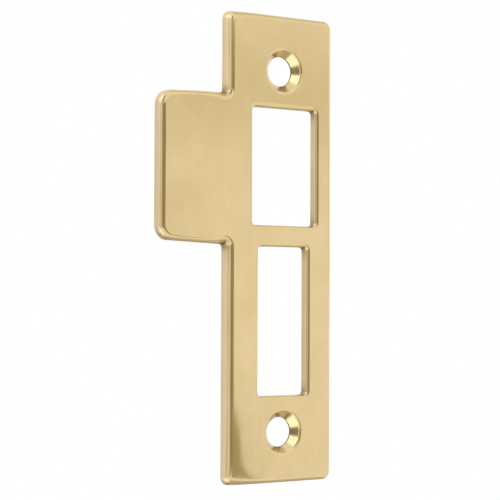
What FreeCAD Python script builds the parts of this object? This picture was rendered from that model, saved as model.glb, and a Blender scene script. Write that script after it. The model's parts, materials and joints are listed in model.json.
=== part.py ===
# A brass door strike plate: one flat plate with a lip, two bolt openings and two countersunk screw holes.
# Millimetres. +Z is up, the front faces -Y and the lip points to -X. The origin is on the back face, on the
# line of the screw holes, in the middle of the web between the two openings.
import FreeCAD
import Part
import Sketcher

import os

doc = FreeCAD.newDocument("strike_plate")


# Driving dimensions
sizes = doc.addObject("Spreadsheet::Sheet", "sizes")
dimensions = [
    ("plate_thickness", 2.1),
    # heights, counted out from the web between the openings to the two ends of the plate
    ("web_height", 4.2),
    ("latch_height", 23.25),
    ("latch_to_screw", 7.45),
    ("screw_to_top", 11.0),
    ("bolt_height", 29.4),
    ("bolt_to_screw", 7.2),
    ("screw_to_bottom", 9.9),
    # widths, counted across the latch opening
    ("lip_side_rail", 6.25),
    ("latch_width", 15.65),
    ("far_side_rail", 4.2),
    ("latch_offset", 0.35),
    ("bolt_width", 12.0),
    # the lip, a little narrower at its end than at the plate
    ("lip_length", 15.75),
    ("lip_above_latch", 2.4),
    ("lip_below_latch", 3.95),
    ("lip_taper", 0.6),
    # countersunk screw holes: the bore, the width of the conical seat round it and the seat's angle
    ("screw_bore", 5.9),
    ("screw_seat", 1.4),
    ("screw_seat_angle", 90.0),
    # edges: the rolled front edge, the corners of the flat front inside it, and the edges of the openings
    ("front_roll", 1.4),
    ("plate_corner", 0.35),
    ("lip_corner", 1.55),
    ("lip_root_corner", 0.6),
    ("opening_corner", 0.8),
    ("rim_roll", 0.85),
    ("back_break", 0.35),
]
for row, (alias, value) in enumerate(dimensions, start=1):
    sizes.set(f"A{row}", alias)
    sizes.set(f"B{row}", str(value))
    sizes.setAlias(f"B{row}", alias)
doc.recompute()


# Places that several features share, as expressions on the sheet
web_top = "sizes.web_height / 2"
latch_top = f"{web_top} + sizes.latch_height"
upper_screw = f"{latch_top} + sizes.latch_to_screw"
plate_top = f"{upper_screw} + sizes.screw_to_top"
web_bottom = "-sizes.web_height / 2"
bolt_bottom = f"{web_bottom} - sizes.bolt_height"
lower_screw = f"{bolt_bottom} - sizes.bolt_to_screw"
plate_bottom = f"{lower_screw} - sizes.screw_to_bottom"

latch_near = "sizes.latch_offset - sizes.latch_width / 2"
latch_far = "sizes.latch_offset + sizes.latch_width / 2"
plate_near = f"{latch_near} - sizes.lip_side_rail"
plate_far = f"{latch_far} + sizes.far_side_rail"
lip_end = f"{plate_near} - sizes.lip_length"
bolt_near = "-sizes.bolt_width / 2"
bolt_far = "sizes.bolt_width / 2"

lip_top = f"{latch_top} + sizes.lip_above_latch"
lip_top_end = f"{lip_top} - sizes.lip_taper"
lip_bottom = f"{web_top} - sizes.lip_below_latch"
lip_bottom_end = f"{lip_bottom} + sizes.lip_taper"


def length(expression):
    """The value of an expression on the sheet, in millimetres."""
    return float(sizes.evalExpression(expression))


# Sketches and edges
body = doc.addObject("PartDesign::Body", "strike_plate")
body.Label = "strike_plate"
jamb_plane = next(plane for plane in body.Origin.OriginFeatures if plane.Role == "XZ_Plane")
START, END = 1, 2
SKETCH_ORIGIN = (-1, 1)
SAME_PLACE = 1e-5  # mm, two places closer than this are one


def jamb_sketch(name):
    """A new sketch on the plane of the back face, with X across and Z up."""
    sketch = body.newObject("Sketcher::SketchObject", name)
    sketch.AttachmentSupport = [(jamb_plane, "")]
    sketch.MapMode = "FlatFace"
    return sketch


def dimension(sketch, direction, geometry, point, expression):
    """Set how far a point lies from the sketch's origin along one direction."""
    place = length(expression)
    index = sketch.addConstraint(Sketcher.Constraint(direction, *SKETCH_ORIGIN, geometry, point, place))
    sketch.setExpression(f"Constraints[{index}]", expression)


def draw_outline(sketch, corners):
    """Draw a closed outline through corners given as pairs of expressions, across and up."""
    points = [FreeCAD.Vector(length(across), length(up), 0) for across, up in corners]
    count = len(points)
    for number, point in enumerate(points):
        sketch.addGeometry(Part.LineSegment(point, points[(number + 1) % count]))
    for number in range(count):
        sketch.addConstraint(Sketcher.Constraint("Coincident", number, END, (number + 1) % count, START))
    for number, (across, up) in enumerate(corners):
        dimension(sketch, "DistanceX", number, START, across)
        dimension(sketch, "DistanceY", number, START, up)


def names_of(shape, edges):
    """The names that some of a shape's edges have in it."""
    return [
        f"Edge{number}"
        for number, edge in enumerate(shape.Edges, start=1)
        if any(edge.isSame(wanted) for wanted in edges)
    ]


def edges_through(corners):
    """The names of the straight edges that run through the plate at the given corners of an outline."""
    shape = body.Tip.Shape
    places = [(length(across), length(up)) for across, up in corners]
    found = []
    for edge in shape.Edges:
        ends = [vertex.Point for vertex in edge.Vertexes]
        for across, up in places:
            if all(abs(end.x - across) + abs(end.z - up) < SAME_PLACE for end in ends):
                found.append(edge)
    return names_of(shape, found)


def face_at(depth):
    """The flat face of the plate that lies square to Y at the given depth."""
    flats = [
        face
        for face in body.Tip.Shape.Faces
        if face.BoundBox.YLength < SAME_PLACE and abs(face.BoundBox.YMin - depth) < SAME_PLACE
    ]
    return max(flats, key=lambda face: face.Area)


def outer_edges(face):
    """The names of the edges round the outside of a face."""
    return names_of(body.Tip.Shape, face.OuterWire.Edges)


def inner_edges(face):
    """The names of the edges round the openings in a face."""
    inside = [wire for wire in face.Wires if not wire.isSame(face.OuterWire)]
    return names_of(body.Tip.Shape, [edge for wire in inside for edge in wire.Edges])


def dress(kind, name, edges, size, expression):
    """Add a fillet or a chamfer to edges of the plate, with its size bound to the sheet."""
    base = body.Tip
    feature = body.newObject(f"PartDesign::{kind}", name)
    feature.Base = (base, edges)
    feature.setExpression(size, expression)
    doc.recompute()
    return feature


# The blank: the plate and its lip in one flat outline, padded forward from the back face
lip_corners = [(lip_end, lip_top_end), (lip_end, lip_bottom_end)]
lip_roots = [(plate_near, lip_top), (plate_near, lip_bottom)]
plate_corners = [
    (plate_near, plate_bottom),
    (plate_far, plate_bottom),
    (plate_far, plate_top),
    (plate_near, plate_top),
]
outline = jamb_sketch("outline")
draw_outline(outline, plate_corners + [lip_roots[0]] + lip_corners + [lip_roots[1]])
blank = body.newObject("PartDesign::Pad", "blank")
blank.Profile = outline
blank.setExpression("Length", "sizes.plate_thickness")
doc.recompute()


# The openings: the latch goes into the upper one and the dead bolt into the lower one
latch_corners = [
    (latch_near, web_top),
    (latch_far, web_top),
    (latch_far, latch_top),
    (latch_near, latch_top),
]
bolt_corners = [
    (bolt_near, bolt_bottom),
    (bolt_far, bolt_bottom),
    (bolt_far, web_bottom),
    (bolt_near, web_bottom),
]
for name, corners in (("latch_opening", latch_corners), ("bolt_opening", bolt_corners)):
    sketch = jamb_sketch(f"{name}_outline")
    draw_outline(sketch, corners)
    opening = body.newObject("PartDesign::Pocket", name)
    opening.Profile = sketch
    opening.Type = "ThroughAll"
    opening.Reversed = True
    doc.recompute()


# The corners, seen from the front
dress("Fillet", "plate_corner_fillet", edges_through(plate_corners), "Radius",
      "sizes.front_roll + sizes.plate_corner")
dress("Fillet", "lip_corner_fillet", edges_through(lip_corners), "Radius",
      "sizes.front_roll + sizes.lip_corner")
dress("Fillet", "lip_root_fillet", edges_through(lip_roots), "Radius", "sizes.lip_root_corner")
dress("Fillet", "opening_corner_fillet", edges_through(latch_corners + bolt_corners), "Radius",
      "sizes.opening_corner")


# The screw holes, sunk from the front for flat-head screws
screw_places = jamb_sketch("screw_places")
screw_places.setExpression("AttachmentOffset.Base.z", "sizes.plate_thickness")
for number, height in enumerate((upper_screw, lower_screw)):
    centre = FreeCAD.Vector(0, length(height), 0)
    screw_places.addGeometry(Part.Circle(centre, FreeCAD.Vector(0, 0, 1), length("sizes.screw_bore") / 2))
    rim = screw_places.addConstraint(Sketcher.Constraint("Diameter", number, length("sizes.screw_bore")))
    screw_places.setExpression(f"Constraints[{rim}]", "sizes.screw_bore")
    screw_places.addConstraint(Sketcher.Constraint("PointOnObject", number, 3, -2))
    dimension(screw_places, "DistanceY", number, 3, height)
doc.recompute()
screw_holes = body.newObject("PartDesign::Hole", "screw_holes")
screw_holes.Profile = screw_places
screw_holes.DepthType = "ThroughAll"
screw_holes.HoleCutType = "Countersink"
screw_holes.HoleCutCustomValues = True
screw_holes.setExpression("Diameter", "sizes.screw_bore")
screw_holes.setExpression("HoleCutDiameter", "sizes.screw_bore + 2 * sizes.screw_seat")
screw_holes.setExpression("HoleCutCountersinkAngle", "sizes.screw_seat_angle")
doc.recompute()


# The edges: rolled over by polishing on the front, and freed of burrs on the back
front = -length("sizes.plate_thickness")
dress("Fillet", "front_roll", outer_edges(face_at(front)), "Radius", "sizes.front_roll")
dress("Fillet", "rim_roll", inner_edges(face_at(front)), "Radius", "sizes.rim_roll")
dress("Chamfer", "back_break", inner_edges(face_at(0)), "Size", "sizes.back_break")


# Nothing is written unless every feature and the finished solid are sound
failed = [item.Label for item in doc.Objects if {"Invalid", "Error"} & set(item.State)]
if failed:
    raise RuntimeError(f"failed features: {failed}")
plate = body.Shape
if plate.isNull() or not plate.isValid() or len(plate.Solids) != 1:
    raise RuntimeError("the strike plate is not one sound solid")
os.makedirs("parts", exist_ok=True)
plate.exportStep("parts/strike_plate.step")
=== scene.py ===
import json
import math
from collections import namedtuple

import bmesh
import bpy
from mathutils import Matrix, Quaternion, Vector, kdtree
from mathutils.geometry import delaunay_2d_cdt


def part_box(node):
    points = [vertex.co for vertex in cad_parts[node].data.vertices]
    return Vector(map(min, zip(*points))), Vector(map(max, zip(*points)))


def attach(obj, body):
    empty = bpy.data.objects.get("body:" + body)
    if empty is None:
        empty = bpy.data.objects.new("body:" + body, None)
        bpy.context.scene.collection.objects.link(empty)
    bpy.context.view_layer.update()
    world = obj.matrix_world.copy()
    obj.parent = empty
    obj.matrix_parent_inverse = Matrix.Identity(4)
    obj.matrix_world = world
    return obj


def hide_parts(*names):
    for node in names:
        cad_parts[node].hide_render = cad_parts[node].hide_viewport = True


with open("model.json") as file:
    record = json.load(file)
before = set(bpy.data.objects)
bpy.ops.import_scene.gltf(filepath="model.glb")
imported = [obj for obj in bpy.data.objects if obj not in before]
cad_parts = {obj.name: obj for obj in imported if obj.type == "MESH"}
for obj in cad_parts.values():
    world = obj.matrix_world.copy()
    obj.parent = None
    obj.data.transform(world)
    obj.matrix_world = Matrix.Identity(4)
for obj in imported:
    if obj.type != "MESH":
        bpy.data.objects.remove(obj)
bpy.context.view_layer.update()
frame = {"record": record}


# The strike plate: one flat piece of brass, blanked with the lip that the latch rides over, punched for the
# latch and the bolt, and drilled for the two flat-head screws that hold it to the jamb. A soft wheel buffs
# its front and rolls the edges over, its sides are linished to a satin, and its back stays as milled.
low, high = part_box("strike_plate")
face, back = low.y, high.y

# Sizes of the blank, in metres as all lengths here. The corners are those of the outline.
lip_length = 0.01575
lip_above_latch = 0.0024
lip_below_latch = 0.00395
lip_taper = 0.0006
front_roll = 0.0014
plate_corner = front_roll + 0.00035
lip_corner = front_roll + 0.00155
lip_root = 0.0006
outline_break = 0.00012

# Sizes of the openings and of the screw holes
rim_roll = 0.00085
opening_corner = 0.0008
opening_break = 0.00035
screw_seat = 0.0014
screw_seat_angle = math.radians(90)
square = math.radians(90)

# The record's openings are the room for the latch and the bolt, this much inside the walls on every side
opening_margin = 0.00025
Opening = namedtuple("Opening", ["left", "right", "bottom", "top"])


def walls(opening):
    """The walls of one of the record's openings, seen from the front."""
    lows, highs = opening["box_m"]
    return Opening(
        left=lows[0] - opening_margin,
        right=highs[0] + opening_margin,
        bottom=lows[2] - opening_margin,
        top=highs[2] + opening_margin,
    )


latch, bolt = (walls(opening) for opening in frame["record"]["physics"]["openings"])
screws = next(mount for mount in frame["record"]["mounts"] if mount["name"] == "screw_holes")
bore_radius = screws["dims"]["hole_r_mm"] / 1000
screw_spacing = screws["dims"]["spacing_y_mm"] / 1000
screw_middle = Vector((screws["pos_m"][0], screws["pos_m"][2]))
screw_spots = [screw_middle + Vector((0, side * screw_spacing / 2)) for side in (1, -1)]

near = low.x + lip_length
lip_top = latch.top + lip_above_latch
lip_bottom = latch.bottom - lip_below_latch

# How fine the mesh is: steps along a straight edge, round a corner, round a hole and over the front, the
# parts of a rolled edge, and the narrow flat rim beside it that keeps its shading even
run_step = 0.0008
arc_step = 0.00016
hole_step = 0.00032
face_step = 0.0007
fewest_arc_parts = 6
roll_parts = 10
flat_rim = 0.00003


def edge_path(corners):
    """Points round an outline with rounded corners, each with the direction that leads out of the metal.

    The way round keeps the metal on the left. A corner is its place across, its place up and its radius.
    """
    spots = [Vector(corner[:2]) for corner in corners]
    arcs = []
    for number, spot in enumerate(spots):
        radius = corners[number][2]
        arriving = (spot - spots[number - 1]).normalized()
        leaving = (spots[(number + 1) % len(spots)] - spot).normalized()
        turn = math.atan2(arriving.x * leaving.y - arriving.y * leaving.x, arriving.dot(leaving))
        bulge = math.copysign(radius, turn)
        air = Vector((arriving.y, -arriving.x))
        start = spot - arriving * radius * math.tan(abs(turn) / 2)
        centre = start - air * bulge
        parts = max(fewest_arc_parts, math.ceil(radius * abs(turn) / arc_step))
        outward = [Matrix.Rotation(turn * part / parts, 2) @ air for part in range(parts + 1)]
        arcs.append([(centre + away * bulge, away) for away in outward])
    path = []
    for number, arc in enumerate(arcs):
        path += arc
        start, away = arc[-1]
        run = arcs[(number + 1) % len(arcs)][0][0] - start
        parts = max(1, math.ceil(run.length / run_step))
        path += [(start + run * part / parts, away) for part in range(1, parts)]
    return path


def hole_path(centre, radius):
    """Points round a drilled hole, each with the direction that leads out of the metal."""
    count = math.ceil(2 * math.pi * radius / hole_step)
    turns = [-2 * math.pi * number / count for number in range(count)]
    outward = [Vector((math.cos(turn), math.sin(turn))) for turn in turns]
    return [(centre + away * radius, -away) for away in outward]


def opening_path(opening):
    """Points round a punched opening, each with the direction that leads out of the metal."""
    left, right, bottom, top = opening
    places = [(left, bottom), (left, top), (right, top), (right, bottom)]
    return edge_path([(across, up, opening_corner) for across, up in places])


def rolled(corner, roll, turn):
    """Profile of an edge that polishing has rolled over, as pairs of inset and depth behind the front.

    The corner is how far in the sharp edge would lie. The turn is the angle between the wall and the front.
    """
    middle = corner + roll * math.tan(turn / 2)
    angles = [turn * (1 - part / roll_parts) for part in range(roll_parts + 1)]
    profile = [(middle - roll * math.sin(angle), roll * (1 - math.cos(angle))) for angle in angles]
    return profile + [(middle + flat_rim, 0)]


# The lower corner on the lip's side, which the wheel has worn down: how deep, and how far it spreads across
# and up, with a flare along the bottom edge
worn_sink = 0.00033
worn_width = 0.0012
worn_height = 0.007
worn_flare = 0.004
worn_flare_height = 0.0011


def buffed_depth(spot):
    """Depth of the front at a spot: flat, but buffed down a little at the lower corner on the lip's side."""
    height = spot.y - low.z
    across = (spot.x - near) / (worn_width + worn_flare * math.exp(-height / worn_flare_height))
    up = height / worn_height
    return face + worn_sink * math.exp(-(across**2 + up**2) / 2)


# How unevenly the wheel has rolled the outline, as shares of the front roll across the front and down the
# side. The changes are beside the lip, at the lip's end and half way along it: where, how far they reach,
# and the shares that they add. Down the side the roll leaves a little of the wall standing.
plain_roll = 0.76
roll_changes = [
    (near, 0.003, (0.46, 0.62)),
    (low.x, 0.003, (0.21, -0.04)),
    ((low.x + near) / 2, 0.005, (-0.16, -0.16)),
]
deepest_roll = 0.98
rim_roll_depth = 0.7


def roll_share(spot):
    """How far the front edge is rolled at a spot, in across the front and down the side."""
    across = plain_roll
    down = plain_roll
    for place, reach, (more_across, more_down) in roll_changes:
        nearness = math.exp(-(((spot.x - place) / reach) ** 2))
        across += more_across * nearness
        down += more_down * nearness
    room = (back - outline_break - buffed_depth(spot)) / front_roll
    return across, min(down, deepest_roll * room)


def rim_share(spot):
    """The roll round an opening, which the wheel only brushes: the same all along, and shallow."""
    return 1.0, rim_roll_depth


def even_share(spot):
    """The same roll all along an edge."""
    return 1.0, 1.0


# The finishes, in the order of the plate's materials. Every edge starts with two bands, its break at the
# back and its wall. The satin of the sides reaches some parts up the roll.
POLISHED, LINISHED, PUNCHED, SHADED_BORE, DRILLED, MILLED = range(6)
wall_bands = 2
satin_roll_parts = 6
plate = bmesh.new()
painted_corner_shade = plate.verts.layers.float.new("painted_corner_shade")


def ring(path, inset, depth, share=even_share):
    """A ring of vertices along a path, moved into the metal by an inset, at a depth given by a function."""
    spots = [spot - air * inset * share(spot)[0] for spot, air in path]
    return [plate.verts.new((spot.x, depth(spot), spot.y)) for spot in spots]


def band(first, second, finish):
    """A band of faces between two rings of the same length."""
    for number in range(len(first)):
        corners = (first[number - 1], first[number], second[number], second[number - 1])
        plate.faces.new(corners).material_index = finish


def edge(path, edge_break, profile, finishes, share=even_share):
    """The faces up one edge of the plate, from the back to the front. Gives its first and last rings.

    The finishes are those of the bands nearest the back; the bands after them are polished.
    """
    rings = [
        ring(path, edge_break, lambda spot: back),
        ring(path, 0, lambda spot: back - edge_break),
    ]
    for inset, behind in profile:
        rings.append(ring(path, inset, lambda spot: buffed_depth(spot) + behind * share(spot)[1], share))
    polished = [POLISHED] * (len(rings) - 1 - len(finishes))
    for first, second, finish in zip(rings, rings[1:], finishes + polished):
        band(first, second, finish)
    return rings[0], rings[-1]


outline = edge_path([
    (near, low.z, plate_corner),
    (high.x, low.z, plate_corner),
    (high.x, high.z, plate_corner),
    (near, high.z, plate_corner),
    (near, lip_top, lip_root),
    (low.x, lip_top - lip_taper, lip_corner),
    (low.x, lip_bottom + lip_taper, lip_corner),
    (near, lip_bottom, lip_root),
])
outline_profile = rolled(0, front_roll, square)
outline_finishes = [LINISHED] * (wall_bands + satin_roll_parts)
opening_profile = rolled(0, rim_roll, square)
opening_finishes = [PUNCHED] * wall_bands
seat_depth = screw_seat / math.tan(screw_seat_angle / 2)
screw_profile = [(0, seat_depth)] + rolled(screw_seat, rim_roll, square - screw_seat_angle / 2)
# The screw holes' bores and back breaks take a dark brown finish: painted shade down inside the holes
screw_finishes = [SHADED_BORE] * wall_bands + [DRILLED]
edges = [edge(outline, outline_break, outline_profile, outline_finishes, roll_share)]
for opening in (latch, bolt):
    edges.append(edge(opening_path(opening), opening_break, opening_profile, opening_finishes, rim_share))
for spot in screw_spots:
    edges.append(edge(hole_path(spot, bore_radius), opening_break, screw_profile, screw_finishes))
back_rings, front_rings = zip(*edges)

# The front has vertices all over, so that its wear shades smoothly. They keep clear of the rims.
rim_points = [vert for loop in front_rings for vert in loop]
rims = kdtree.KDTree(len(rim_points))
for number, vert in enumerate(rim_points):
    rims.insert((vert.co.x, 0, vert.co.z), number)
rims.balance()
rim_clearance = face_step * 0.55


def on_metal(spot):
    """Whether a spot on the front is clear of the openings and of every rim, with room for a vertex."""
    rim = rim_roll + flat_rim
    for left, right, bottom, top in (latch, bolt):
        if left - rim < spot.x < right + rim and bottom - rim < spot.y < top + rim:
            return False
    if any((spot - centre).length < bore_radius + screw_profile[-1][0] for centre in screw_spots):
        return False
    distance = rims.find((spot.x, 0, spot.y))[2]
    return distance > rim_clearance


# The fill keeps inside the outer ring, and takes vertices closer than this for one
INSIDE_THE_SIDES = 1
one_spot = 1e-7


def spread(rings, extra, finish):
    """Fill a flat face between its outer ring, which comes first, and the rings of its openings.

    A triangle with all its corners on the ring of one opening lies in that opening, and is left out.
    """
    verts = [vert for loop in rings for vert in loop] + extra
    owner = {vert: number for number, loop in enumerate(rings) for vert in loop}
    sides = []
    for loop in rings:
        start = len(sides)
        sides += [(start + number, start + (number + 1) % len(loop)) for number in range(len(loop))]
    flat = [Vector((vert.co.x, vert.co.z)) for vert in verts]
    filled = delaunay_2d_cdt(flat, sides, [], INSIDE_THE_SIDES, one_spot)
    triangles, origins = filled[2], filled[3]
    source = [verts[origin[0]] for origin in origins]
    for corners in triangles:
        trio = [source[corner] for corner in corners]
        owners = {owner.get(vert) for vert in trio}
        if len(owners) == 1 and owners.isdisjoint({0, None}):
            continue
        plate.faces.new(trio).material_index = finish


columns = math.floor((high.x - low.x) / face_step)
rows = math.floor((high.z - low.z) / face_step)
grid = [
    Vector((low.x + face_step * (column + row % 2 / 2), low.z + face_step * row))
    for row in range(rows + 1)
    for column in range(columns + 1)
]
inner = [plate.verts.new((spot.x, buffed_depth(spot), spot.y)) for spot in grid if on_metal(spot)]
spread(front_rings, inner, POLISHED)
spread(back_rings, [], MILLED)
loose = [vert for vert in plate.verts if not vert.link_faces]
bmesh.ops.delete(plate, geom=loose, context="VERTS")
bmesh.ops.recalc_face_normals(plate, faces=plate.faces)

# Painted shade: the lip's roots and the corners of the openings are darkened towards a dark brown in the
# base colour, more so deeper behind the front, standing in for the shade in these hollows. The milled back
# has no part in this.
deepest_corner_shade = 0.85
root_shade_width = 0.0011
corner_shade_width = 0.0018
corner_shade_tone = (0.24, 0.17, 0.08)
shaded_spots = [(Vector((near, up)), root_shade_width) for up in (lip_top, lip_bottom)]
for left, right, bottom, top in (latch, bolt):
    corners = [Vector((across, up)) for across in (left, right) for up in (bottom, top)]
    shaded_spots += [(corner, corner_shade_width) for corner in corners]
for vert in plate.verts:
    if vert.co.y < back - outline_break / 2:
        spot = Vector((vert.co.x, vert.co.z))
        away = min((spot - corner).length / width for corner, width in shaded_spots)
        behind = min(1, (vert.co.y - face) / rim_roll)
        vert[painted_corner_shade] = deepest_corner_shade * behind * math.exp(-(away**2))

sharp_edge = math.radians(32)
plate_mesh = bpy.data.meshes.new("polished_plate")
plate.to_mesh(plate_mesh)
plate.free()
plate_mesh.shade_smooth()
plate_mesh.set_sharp_from_angle(angle=sharp_edge)
polished_plate = bpy.data.objects.new("polished_plate", plate_mesh)
bpy.context.scene.collection.objects.link(polished_plate)

# How much of the noise's spread goes into the mottled tone and into the gloss of the grain
mottle_range = (0.3, 0.7)
grain_range = (0.25, 0.75)


def brass(name, tone, dull_tone, mottling, roughness, grain, grain_depth):
    """A brass finish: mottled tone, and fine grain lines that roughen and scratch the surface.

    The mottling and the grain are the number of blotches and lines in a metre across, through and up.
    """
    material = bpy.data.materials.new(name)
    material.use_nodes = True
    nodes, links = material.node_tree.nodes, material.node_tree.links
    metal = nodes["Principled BSDF"]
    metal.inputs["Metallic"].default_value = 1
    place = nodes.new("ShaderNodeTexCoord")

    def streaks(per_metre, detail):
        """Noise that is drawn out into streaks."""
        stretch = nodes.new("ShaderNodeMapping")
        stretch.inputs["Scale"].default_value = per_metre
        links.new(place.outputs["Object"], stretch.inputs["Vector"])
        noise = nodes.new("ShaderNodeTexNoise")
        noise.inputs["Scale"].default_value = 1
        noise.inputs["Detail"].default_value = detail
        links.new(stretch.outputs["Vector"], noise.inputs["Vector"])
        return noise.outputs["Fac"]

    tones = nodes.new("ShaderNodeValToRGB")
    darker, lighter = tones.color_ramp.elements
    darker.position, lighter.position = mottle_range
    darker.color = (*dull_tone, 1)
    lighter.color = (*tone, 1)
    links.new(streaks(mottling, detail=5), tones.inputs["Fac"])
    # painted shade: the corner attribute mixes the tone towards a dark brown at the lip's roots and the
    # openings' corners
    corners = nodes.new("ShaderNodeAttribute")
    corners.attribute_name = "painted_corner_shade"
    corner_shaded = nodes.new("ShaderNodeMix")
    corner_shaded.data_type = "RGBA"
    links.new(corners.outputs["Fac"], corner_shaded.inputs["Factor"])
    links.new(tones.outputs["Color"], corner_shaded.inputs["A"])
    corner_shaded.inputs["B"].default_value = (*corner_shade_tone, 1)
    links.new(corner_shaded.outputs["Result"], metal.inputs["Base Color"])

    lines = streaks(grain, detail=4)
    gloss = nodes.new("ShaderNodeMapRange")
    gloss.inputs["From Min"].default_value = grain_range[0]
    gloss.inputs["From Max"].default_value = grain_range[1]
    gloss.inputs["To Min"].default_value = roughness[0]
    gloss.inputs["To Max"].default_value = roughness[1]
    links.new(lines, gloss.inputs["Value"])
    links.new(gloss.outputs["Result"], metal.inputs["Roughness"])
    scratch = nodes.new("ShaderNodeBump")
    scratch.inputs["Strength"].default_value = 1
    scratch.inputs["Distance"].default_value = grain_depth
    links.new(lines, scratch.inputs["Height"])
    links.new(scratch.outputs["Normal"], metal.inputs["Normal"])
    return material


blotches = (160, 160, 160)
wheel_lines = (1600, 1600, 160)
punch_lines = (1800, 120, 1800)
drill_lines = (1400, 1400, 1400)
mill_blotches = (2400, 2400, 30)
mill_lines = (5200, 5200, 60)
for finish in (
    brass(
        "buffed_brass", tone=(0.82, 0.637, 0.352), dull_tone=(0.77, 0.594, 0.314), mottling=blotches,
        roughness=(0.08, 0.14), grain=wheel_lines, grain_depth=0.000002,
    ),
    brass(
        "linished_brass", tone=(0.80, 0.64, 0.38), dull_tone=(0.76, 0.60, 0.35), mottling=blotches,
        roughness=(0.32, 0.44), grain=wheel_lines, grain_depth=0.000002,
    ),
    brass(
        "punched_brass", tone=(0.76, 0.60, 0.33), dull_tone=(0.66, 0.52, 0.28), mottling=blotches,
        roughness=(0.24, 0.36), grain=punch_lines, grain_depth=0.00001,
    ),
    # painted shade: the screw holes' bores, dark brown for the shade inside the holes
    brass(
        "bore_shade_brass", tone=(0.26, 0.20, 0.11), dull_tone=(0.20, 0.15, 0.08), mottling=blotches,
        roughness=(0.3, 0.42), grain=punch_lines, grain_depth=0.00001,
    ),
    brass(
        "drilled_brass", tone=(0.80, 0.62, 0.34), dull_tone=(0.74, 0.57, 0.31), mottling=blotches,
        roughness=(0.15, 0.22), grain=drill_lines, grain_depth=0.000001,
    ),
    brass(
        "milled_brass", tone=(0.76, 0.585, 0.32), dull_tone=(0.71, 0.54, 0.285), mottling=mill_blotches,
        roughness=(0.18, 0.28), grain=mill_lines, grain_depth=0.000003,
    ),
):
    plate_mesh.materials.append(finish)
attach(polished_plate, "root")
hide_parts("strike_plate")


# The floor: a round white board well below the plate, which takes its soft shadow and fades into the white
# round it. The plate's polish shows the studio past it, as it would in front of a seamless sweep.
floor_height = -0.125
floor_radius = 0.3
floor_sides = 128
floor_white = (0.86, 0.86, 0.86)
fade_start = floor_radius * 0.2
fade_end = floor_radius * 0.95
board = bmesh.new()
bmesh.ops.create_circle(board, cap_ends=True, radius=floor_radius, segments=floor_sides)
board_mesh = bpy.data.meshes.new("floor")
board.to_mesh(board_mesh)
board.free()
floor = bpy.data.objects.new("floor", board_mesh)
floor.location.z = floor_height
floor.visible_glossy = False
bpy.context.scene.collection.objects.link(floor)

white_board = bpy.data.materials.new("white_board")
white_board.use_nodes = True
nodes, links = white_board.node_tree.nodes, white_board.node_tree.links
matt = nodes["Principled BSDF"]
matt.inputs["Base Color"].default_value = (*floor_white, 1)
matt.inputs["Roughness"].default_value = 0.9
white = nodes.new("ShaderNodeEmission")
from_middle = nodes.new("ShaderNodeVectorMath")
from_middle.operation = "LENGTH"
links.new(nodes.new("ShaderNodeTexCoord").outputs["Object"], from_middle.inputs[0])
fade = nodes.new("ShaderNodeMapRange")
fade.interpolation_type = "SMOOTHSTEP"
fade.inputs["From Min"].default_value = fade_start
fade.inputs["From Max"].default_value = fade_end
links.new(from_middle.outputs["Value"], fade.inputs["Value"])
rays = nodes.new("ShaderNodeLightPath")
seen_fade = nodes.new("ShaderNodeMath")
seen_fade.operation = "MULTIPLY"
links.new(fade.outputs["Result"], seen_fade.inputs[0])
links.new(rays.outputs["Is Camera Ray"], seen_fade.inputs[1])
to_white = nodes.new("ShaderNodeMixShader")
links.new(seen_fade.outputs["Value"], to_white.inputs["Fac"])
links.new(matt.outputs["BSDF"], to_white.inputs[1])
links.new(white.outputs["Emission"], to_white.inputs[2])
links.new(to_white.outputs["Shader"], nodes["Material Output"].inputs["Surface"])
board_mesh.materials.append(white_board)


# The light: a white tent all round, with a lamp above and a lamp below on the lip's side, and with shaded
# places, such as the opening that the camera looks in by and the tent's own floor. Polished metal shows
# nothing but what stands round it. The camera itself sees plain white behind the plate.
white_cloth = (0.97, 0.97, 0.97)
lamp = (1.7, 1.7, 1.7)
opening_shade = (0.35, 0.29, 0.165)
edge_shade = (0.46, 0.42, 0.32)
dark = (0.20, 0.16, 0.10)
world = bpy.data.worlds.new("tent")
world.use_nodes = True
bpy.context.scene.world = world
nodes, links = world.node_tree.nodes, world.node_tree.links
nodes.clear()


def math_node(operation, *values):
    """A math node on numbers or on other nodes' outputs."""
    node = nodes.new("ShaderNodeMath")
    node.operation = operation
    for number, value in enumerate(values):
        if isinstance(value, bpy.types.NodeSocket):
            links.new(value, node.inputs[number])
        else:
            node.inputs[number].default_value = value
    return node.outputs["Value"]


def within(offset, half, soft):
    """1 where an angle's offset is under half its width, falling softly to 0 outside."""
    node = nodes.new("ShaderNodeMapRange")
    node.interpolation_type = "SMOOTHSTEP"
    node.inputs["From Min"].default_value = math.radians(half + soft)
    node.inputs["From Max"].default_value = math.radians(half - soft)
    links.new(math_node("ABSOLUTE", offset), node.inputs["Value"])
    return node.outputs["Result"]


# Azimuth 0 is straight in front of the plate, and grows away from the lip
direction = nodes.new("ShaderNodeSeparateXYZ")
links.new(nodes.new("ShaderNodeTexCoord").outputs["Generated"], direction.inputs["Vector"])
azimuth = math_node("ARCTAN2", direction.outputs["X"], math_node("MULTIPLY", direction.outputs["Y"], -1.0))
elevation = math_node("ARCSINE", direction.outputs["Z"])


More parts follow.
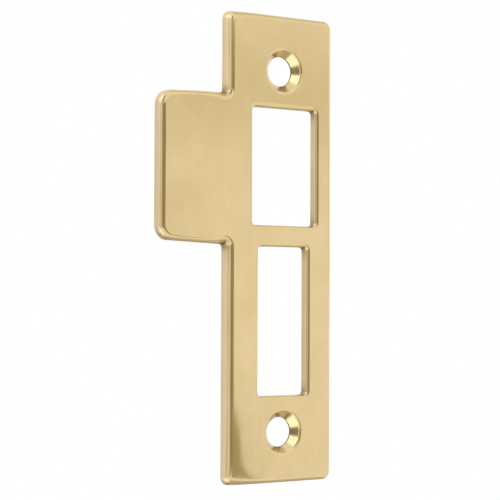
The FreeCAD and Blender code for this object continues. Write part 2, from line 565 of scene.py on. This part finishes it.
def panel(behind, colour, azimuths, elevations, soft, tilt):
    """The tent's colour with one panel added, between two azimuths and two elevations in degrees.

    Its edges fade over the soft angles, across and up, to each side. The tilt is its rise for a unit round.
    """
    middle = math.radians(sum(azimuths) / 2)
    turned = math_node("WRAP", math_node("SUBTRACT", azimuth, middle), math.pi, -math.pi)
    level_line = math_node("MULTIPLY_ADD", turned, tilt, math.radians(sum(elevations) / 2))
    raised = math_node("SUBTRACT", elevation, level_line)
    across = within(turned, (azimuths[1] - azimuths[0]) / 2, soft[0])
    upright = within(raised, (elevations[1] - elevations[0]) / 2, soft[1])
    hung = nodes.new("ShaderNodeMix")
    hung.data_type = "RGBA"
    links.new(math_node("MULTIPLY", across, upright), hung.inputs["Factor"])
    links.new(behind, hung.inputs["A"])
    hung.inputs["B"].default_value = (*colour, 1)
    return hung.outputs["Result"]


# The bare tent, which polished metal shows as white as the camera sees it
rays = nodes.new("ShaderNodeLightPath")
bare = nodes.new("ShaderNodeMix")
bare.data_type = "RGBA"
mirrored = math_node("MAXIMUM", rays.outputs["Is Glossy Ray"], rays.outputs["Is Transmission Ray"])
links.new(mirrored, bare.inputs["Factor"])
bare.inputs["A"].default_value = (*white_cloth, 1)
bare.inputs["B"].default_value = (1, 1, 1, 1)

# What hangs in the tent, each panel in front of those before it: colour, azimuths, elevations, soft and tilt
panels = [
    # the opening that the camera looks in by, and the white side wall next to it
    (opening_shade, (-25, 55), (-10, 9.0), (21, 1.2), 0),
    (white_cloth, (29, 150), (-55, 38), (3.5, 4), 0),
    # a faint band of shade on that wall, and the band's pale end
    ((0.80, 0.79, 0.70), (28, 82), (2.63, 5.93), (5, 0.45), -0.14),
    ((0.88, 0.87, 0.84), (27, 35.3), (1.0, 4.0), (0.6, 0.6), 0),
    # the cool wall round on the lip's side, and the shaded foot of the wall behind
    ((0.84, 0.85, 0.95), (-176, -80), (-20, 20), (8, 5), 0),
    ((0.50, 0.48, 0.44), (105, 215), (-60, -14), (16, 11), 0),
    # the floor all round
    ((0.58, 0.54, 0.46), (-200, 200), (-100, -45), (5, 10), 0),
    # the leaning edge of the camera's opening, and the shade below it
    (edge_shade, (10, 36.0), (-8.45, 0.55), (0.5, 0.6), -0.35),
    (edge_shade, (10, 32.5), (-15, -5), (1, 3), 0),
    # a dark gap on the lip's side, and the shade above the camera's opening
    (dark, (-61, -45), (-21, 15), (5, 3), 0),
    (opening_shade, (-26, 0), (10, 42), (5, 5), 0),
    # the upper lamp, and the shaded top of the side wall
    (lamp, (-100, -25), (19, 56), (5, 3), 0),
    ((0.70, 0.65, 0.54), (50, 108), (47, 72), (6, 4), 0),
    # the lower lamp, with its low end that reaches round to the front
    (lamp, (-90, -25), (-69, -25), (5, 3), 0),
    (lamp, (-32, 2), (-69, -50), (5, 3), 0),
    # the dark middle of the floor, right below the plate
    (dark, (-200, 200), (-100, -72), (5, 2), 0),
]
tent = bare.outputs["Result"]
for colour, azimuths, elevations, soft, tilt in panels:
    tent = panel(tent, colour, azimuths, elevations, soft, tilt)

studio = nodes.new("ShaderNodeBackground")
links.new(tent, studio.inputs["Color"])
backdrop = nodes.new("ShaderNodeBackground")
backdrop.inputs["Color"].default_value = (1, 1, 1, 1)
seen = nodes.new("ShaderNodeMixShader")
links.new(rays.outputs["Is Camera Ray"], seen.inputs["Fac"])
links.new(studio.outputs["Background"], seen.inputs[1])
links.new(backdrop.outputs["Background"], seen.inputs[2])
links.new(seen.outputs["Shader"], nodes.new("ShaderNodeOutputWorld").inputs["Surface"])
bpy.context.scene.view_settings.view_transform = "Standard"


# The camera: a long lens that stands on the lip's side of the plate and a little below its middle, and is
# rolled by a hair. The lens is in millimetres, for a sensor of the width given.
camera_lens = 129.6
camera_sensor = 36
camera_aim = Vector((-0.008402, -0.0023, -0.002901))
camera_distance = 0.351045
camera_azimuth = math.radians(-36.811)
camera_elevation = math.radians(-1.634)
camera_roll = math.radians(0.233)
nearest_seen = 0.01
camera = bpy.data.objects.new("camera", bpy.data.cameras.new("camera"))
camera.data.sensor_width = camera_sensor
camera.data.lens = camera_lens
camera.data.clip_start = nearest_seen
towards = Vector((
    math.sin(camera_azimuth) * math.cos(camera_elevation),
    -math.cos(camera_azimuth) * math.cos(camera_elevation),
    math.sin(camera_elevation),
))
camera.location = camera_aim + towards * camera_distance
camera.rotation_mode = "QUATERNION"
camera.rotation_quaternion = (-towards).to_track_quat("-Z", "Y") @ Quaternion((0, 0, 1), camera_roll)
bpy.context.scene.collection.objects.link(camera)
bpy.context.scene.camera = camera
